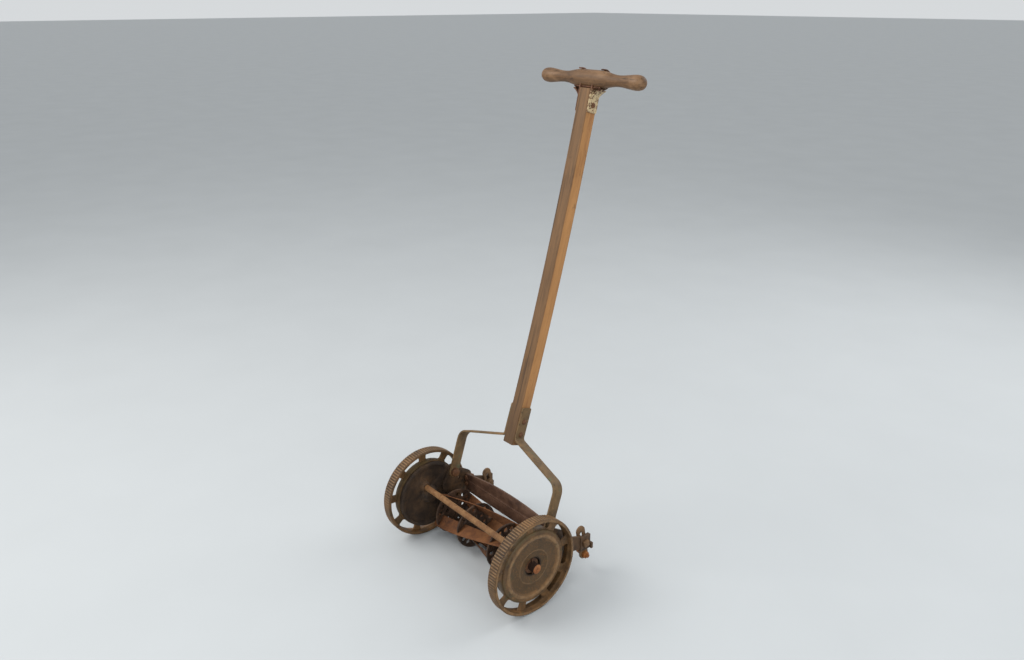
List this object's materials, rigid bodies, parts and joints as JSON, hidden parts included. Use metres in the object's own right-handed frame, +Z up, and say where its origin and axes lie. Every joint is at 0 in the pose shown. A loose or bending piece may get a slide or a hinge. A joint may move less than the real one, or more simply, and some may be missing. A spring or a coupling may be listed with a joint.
{
  "type": "reel mower",
  "caption": "Side-wheel push reel mower: two geared iron wheels drive a helical cutting reel against a bed knife; wooden T handle on a pivoting iron fork.",
  "frame": {"origin": "on the ground, under the middle of the wheel axis", "axes": "+X along the wheel axis towards the right wheel, +Y to the rear where the handle is, +Z up"},
  "size_m": [0.468, 0.5002, 1.1853],
  "materials": {
    "wheel_iron": "rusted casting with traces of olive paint",
    "frame_iron": "dark greasy rust",
    "rod_iron": "warm orange-brown rust",
    "blade_steel": "red-brown rust",
    "spider_iron": "dark rust",
    "plate_iron": "dark red-brown rust",
    "fork_iron": "rust with remains of green paint",
    "shaft_wood": "weathered honey wood, darker at the front",
    "grip_wood": "weathered grey-brown wood",
    "saddle_paint": "flaked cream paint over rust",
    "fastener_iron": "rusted bolts and nuts",
    "bracket_iron": "rust",
    "bearing_steel": "oiled steel"
  },
  "bodies": {
    "frame": {"side_frame_left": "frame_iron", "side_frame_right": "frame_iron", "wheel_spindle_left": "rod_iron", "wheel_spindle_right": "rod_iron", "tie_rod": "rod_iron", "rear_cross_plate": "plate_iron", "cross_plate_bolts": "fastener_iron", "sole_pivot_bolts": "fastener_iron", "adjusting_screws": "fastener_iron", "adjusting_lock_nuts": "fastener_iron", "bracket_clamp_bolts": "fastener_iron", "bracket_clamp_nuts": "fastener_iron", "bearing_cups": "bearing_steel", "bearing_balls": "bearing_steel", "hub_washers": "fastener_iron", "cotter_pins": "fastener_iron", "handle_pivot_bolts": "fastener_iron", "handle_pivot_nuts": "fastener_iron"},
    "wheel_left": {"wheel_left": "wheel_iron"},
    "wheel_right": {"wheel_right": "wheel_iron"},
    "reel": {"reel_shaft": "spider_iron", "reel_spider_left": "spider_iron", "reel_spider_inner_left": "spider_iron", "reel_spider_inner_right": "spider_iron", "reel_spider_right": "spider_iron", "reel_blade_1": "blade_steel", "reel_blade_2": "blade_steel", "reel_blade_3": "blade_steel", "reel_blade_4": "blade_steel", "bearing_cones": "bearing_steel", "ratchet_dogs": "bearing_steel"},
    "pinion_left": {"pinion_left": "bearing_steel"},
    "pinion_right": {"pinion_right": "bearing_steel"},
    "cutting_bed": {"sole_plate": "plate_iron", "bed_knife": "blade_steel", "bed_knife_screws": "fastener_iron"},
    "bracket_left": {"roller_bracket_left": "bracket_iron", "roller_stub_axle_left": "fastener_iron"},
    "bracket_right": {"roller_bracket_right": "bracket_iron", "roller_stub_axle_right": "fastener_iron"},
    "handle": {"fork_bar_left": "fork_iron", "fork_bar_right": "fork_iron", "fork_rivets": "fastener_iron", "handle_shaft": "shaft_wood", "grip": "grip_wood", "grip_saddle": "saddle_paint", "saddle_bolts": "fastener_iron"}
  },
  "joints": [
    {"name": "wheel_left_spin", "type": "hinge", "parent": "frame", "child": "wheel_left", "pos_m": [0, 0, 0.12], "axis": [1, 0, 0], "continuous": true},
    {"name": "wheel_right_spin", "type": "hinge", "parent": "frame", "child": "wheel_right", "pos_m": [0, 0, 0.12], "axis": [1, 0, 0], "continuous": true},
    {"name": "reel_spin", "type": "hinge", "parent": "frame", "child": "reel", "pos_m": [0, 0.04932, 0.07068], "axis": [1, 0, 0], "continuous": true},
    {"name": "pinion_left_spin", "type": "hinge", "parent": "frame", "child": "pinion_left", "pos_m": [0, 0.04932, 0.07068], "axis": [1, 0, 0], "continuous": true},
    {"name": "pinion_right_spin", "type": "hinge", "parent": "frame", "child": "pinion_right", "pos_m": [0, 0.04932, 0.07068], "axis": [1, 0, 0], "continuous": true},
    {"name": "handle_swing", "type": "hinge", "parent": "frame", "child": "handle", "pos_m": [0, 0.073, 0.164], "axis": [-1, 0, 0], "range_deg": [-25, 60]},
    {"name": "bed_adjust", "type": "hinge", "parent": "frame", "child": "cutting_bed", "pos_m": [0, 0.10098, 0.02096], "axis": [1, 0, 0], "range_deg": [0, 3]},
    {"name": "bracket_left_slide", "type": "slide", "parent": "frame", "child": "bracket_left", "axis": [0, 0.1874, -0.9823], "range_m": [-0.009, 0.02]},
    {"name": "bracket_right_slide", "type": "slide", "parent": "frame", "child": "bracket_right", "axis": [0, 0.1874, -0.9823], "range_m": [-0.009, 0.02]}
  ],
  "couplings": [
    {"joint": "reel_spin", "follows": "wheel_left_spin", "ratio": 6.1667},
    {"joint": "pinion_left_spin", "follows": "wheel_left_spin", "ratio": 6.1667},
    {"joint": "pinion_right_spin", "follows": "wheel_right_spin", "ratio": 6.1667}
  ]
}
